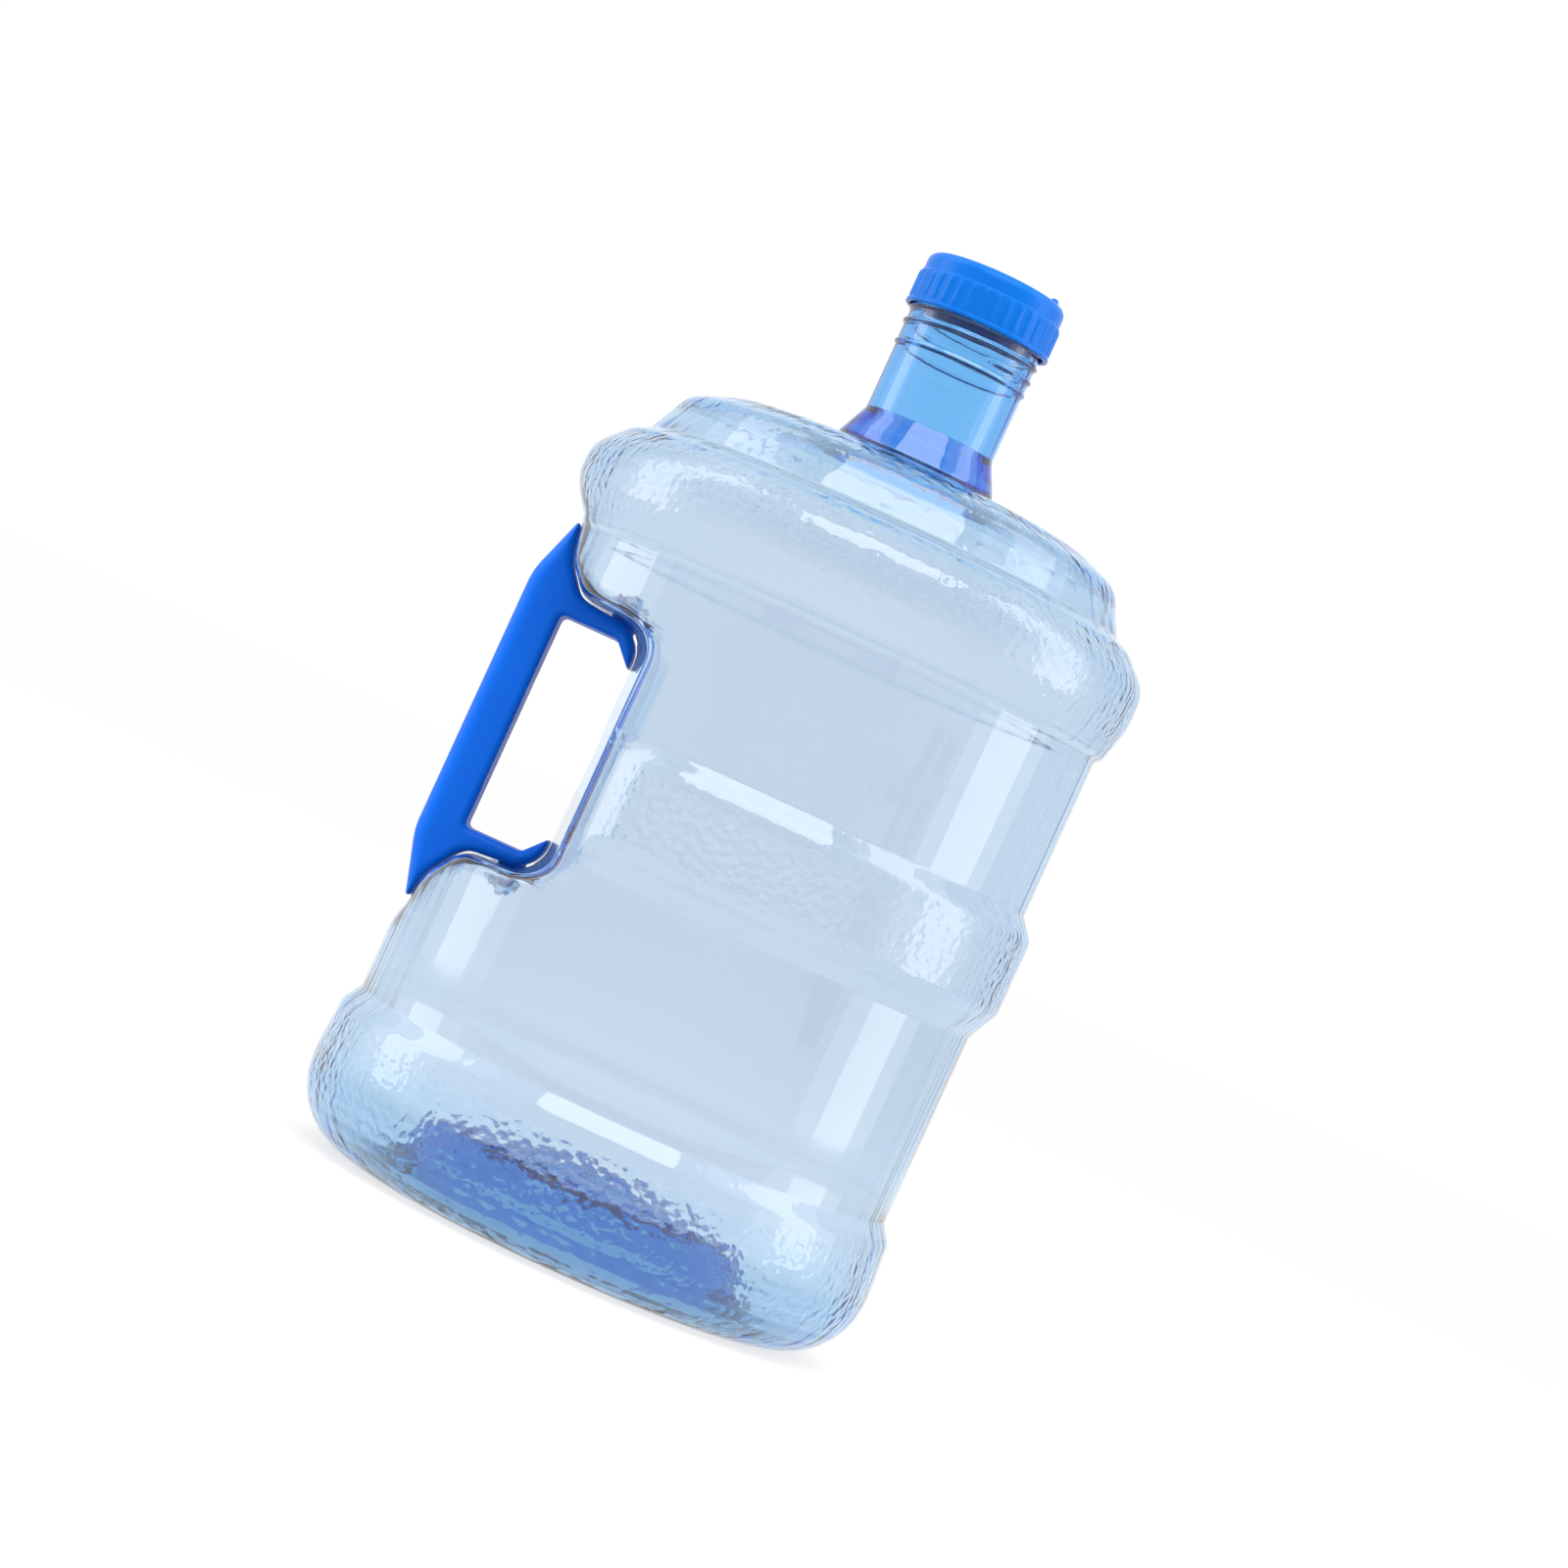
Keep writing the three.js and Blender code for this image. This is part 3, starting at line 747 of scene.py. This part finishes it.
def moulded_plastic(name, colour, shade, roughness, grain, grain_depth):
    """Opaque moulded plastic with a faint flow mottle and a fine grain."""
    material, tree, shader = new_material(name)
    shader.inputs["IOR"].default_value = 1.45
    shader.inputs["Specular IOR Level"].default_value = 0.14
    mix = tree.nodes.new("ShaderNodeMix")
    mix.data_type = "RGBA"
    mix.inputs["A"].default_value = (*colour, 1)
    mix.inputs["B"].default_value = (*shade, 1)
    tree.links.new(noise_range(tree, 25, 0, 1), mix.inputs["Factor"])
    tree.links.new(mix.outputs["Result"], shader.inputs["Base Color"])
    tree.links.new(noise_range(tree, 90, *roughness), shader.inputs["Roughness"])
    bump = tree.nodes.new("ShaderNodeBump")
    bump.inputs["Strength"].default_value = 1.0
    bump.inputs["Distance"].default_value = grain_depth
    tree.links.new(noise_range(tree, grain, 0, 1, detail=4), bump.inputs["Height"])
    tree.links.new(bump.outputs["Normal"], shader.inputs["Normal"])
    return material


def floor_material():
    """A pale sheet that is partly lit from below, so that shadows on it stay faint."""
    material, tree, shader = new_material("pale_floor")
    shader.inputs["Base Color"].default_value = (0.25, 0.25, 0.25, 1)
    shader.inputs["Roughness"].default_value = 0.9
    shader.inputs["Specular IOR Level"].default_value = 0.0
    shader.inputs["Emission Color"].default_value = (1, 1, 1, 1)
    shader.inputs["Emission Strength"].default_value = 0.73
    return material


# ---- camera, light and floor ----

def make_camera():
    """A long lens at the jug's half height, rolled so that the jug leans to the right."""
    place = Vector((0, -1.404, 0.1452))
    target = Vector((0.0044, 0, 0.171))
    roll = math.radians(24.57)
    forward = (target - place).normalized()
    right = forward.cross(Vector((0, 0, 1))).normalized()
    up = right.cross(forward)
    right, up = (right * math.cos(roll) + up * math.sin(roll), up * math.cos(roll) - right * math.sin(roll))
    data = bpy.data.cameras.new("camera")
    data.sensor_width = 36
    data.lens = 96.75
    camera = bpy.data.objects.new("camera", data)
    bpy.context.scene.collection.objects.link(camera)
    rows = [(right[i], up[i], -forward[i], place[i]) for i in range(3)]
    camera.matrix_world = Matrix([*rows, (0, 0, 0, 1)])
    bpy.context.scene.camera = camera


def softbox(name, place, target, width, height, radiance):
    """An area light that shows in reflections and not to the camera or through the bottle."""
    data = bpy.data.lights.new(name, "AREA")
    data.shape = "RECTANGLE"
    data.size, data.size_y = width, height
    data.energy = radiance * math.pi * width * height
    light = bpy.data.objects.new(name, data)
    light.location = place
    light.rotation_euler = (Vector(target) - Vector(place)).to_track_quat("-Z", "Y").to_euler()
    light.visible_camera = False
    light.visible_transmission = False
    bpy.context.scene.collection.objects.link(light)


def make_world():
    """White all round. Reflections see it bluer, and darker towards the room behind the camera."""
    world = bpy.data.worlds.new("studio")
    bpy.context.scene.world = world
    world.use_nodes = True
    tree = world.node_tree
    background = tree.nodes["Background"]
    path = tree.nodes.new("ShaderNodeLightPath")
    mirror = tree.nodes.new("ShaderNodeMath")
    mirror.operation = "SUBTRACT"
    mirror.use_clamp = True
    tree.links.new(path.outputs["Is Reflection Ray"], mirror.inputs[0])
    tree.links.new(path.outputs["Is Diffuse Ray"], mirror.inputs[1])
    place = tree.nodes.new("ShaderNodeTexCoord")
    parts = tree.nodes.new("ShaderNodeSeparateXYZ")
    tree.links.new(place.outputs["Generated"], parts.inputs["Vector"])
    room = tree.nodes.new("ShaderNodeMapRange")
    room.interpolation_type = "SMOOTHSTEP"
    room.inputs["From Min"].default_value = -0.95
    room.inputs["From Max"].default_value = -0.45
    tree.links.new(parts.outputs["Y"], room.inputs["Value"])
    walls = tree.nodes.new("ShaderNodeMix")
    walls.data_type = "RGBA"
    walls.inputs["A"].default_value = (0.40, 0.43, 0.47, 1)
    walls.inputs["B"].default_value = (0.97, 1.03, 1.10, 1)
    tree.links.new(room.outputs["Result"], walls.inputs["Factor"])
    seen = tree.nodes.new("ShaderNodeMix")
    seen.data_type = "RGBA"
    seen.inputs["A"].default_value = (1.03, 1.03, 1.03, 1)
    tree.links.new(mirror.outputs["Value"], seen.inputs["Factor"])
    tree.links.new(walls.outputs["Result"], seen.inputs["B"])
    tree.links.new(seen.outputs["Result"], background.inputs["Color"])
    world.cycles.sampling_method = "NONE"
    cycles = bpy.context.scene.cycles
    cycles.max_bounces = 24
    cycles.glossy_bounces = 16
    cycles.transmission_bounces = 20


def make_floor():
    """A wide sheet just below the ring that the jug stands on."""
    data = bpy.data.meshes.new("floor")
    half = 40
    corners = [(-half, -half, 0), (half, -half, 0), (half, half, 0), (-half, half, 0)]
    data.from_pydata(corners, [], [(0, 1, 2, 3)])
    data.materials.append(floor_material())
    floor = bpy.data.objects.new("floor", data)
    floor.location.z = -0.2 * MM
    bpy.context.scene.collection.objects.link(floor)


make_camera()
make_world()
make_floor()
softbox("top_box", (0.0, -0.62, 1.2), (0, 0, 0.15), 1.0, 0.75, 4.5)
softbox("right_box", (1.15, -0.1, 0.6), (0, 0, 0.18), 0.45, 2.2, 2.2)
softbox("right_box_edge", (1.10, -0.12, 0.6), (0, 0, 0.18), 0.95, 2.2, 0.9)
softbox("left_box", (-1.15, 0.05, 0.6), (0, 0, 0.18), 0.45, 2.2, 2.2)
softbox("left_box_edge", (-1.10, 0.05, 0.6), (0, 0, 0.18), 0.95, 2.2, 0.7)
bpy.context.scene.view_settings.view_transform = "Standard"

clear_shell = clear_plastic("clear_shell")
grip_plastic = moulded_plastic(
    "grip_plastic", colour=(0.0, 0.125, 0.69), shade=(0.0, 0.113, 0.64), roughness=(0.36, 0.46),
    grain=900, grain_depth=2e-5)
cap_plastic = moulded_plastic(
    "cap_plastic", colour=(0.0, 0.125, 0.52), shade=(0.0, 0.114, 0.49), roughness=(0.24, 0.32),
    grain=500, grain_depth=1e-5)
liner_foam = moulded_plastic(
    "liner_foam", colour=(0.85, 0.86, 0.87), shade=(0.80, 0.81, 0.83), roughness=(0.6, 0.8),
    grain=1500, grain_depth=5e-5)

bottle = make_bottle(clear_shell)
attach(bottle, "bottle")
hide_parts("bottle")

handle = make_handle(grip_plastic)
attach(handle, "bottle")
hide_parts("handle")

cap = make_cap(cap_plastic)
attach(cap, "cap")
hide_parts("cap")

nub = make_cap_nub(cap_plastic)
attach(nub, "cap")

liner = make_liner(liner_foam)
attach(liner, "liner")
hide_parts("cap_liner")
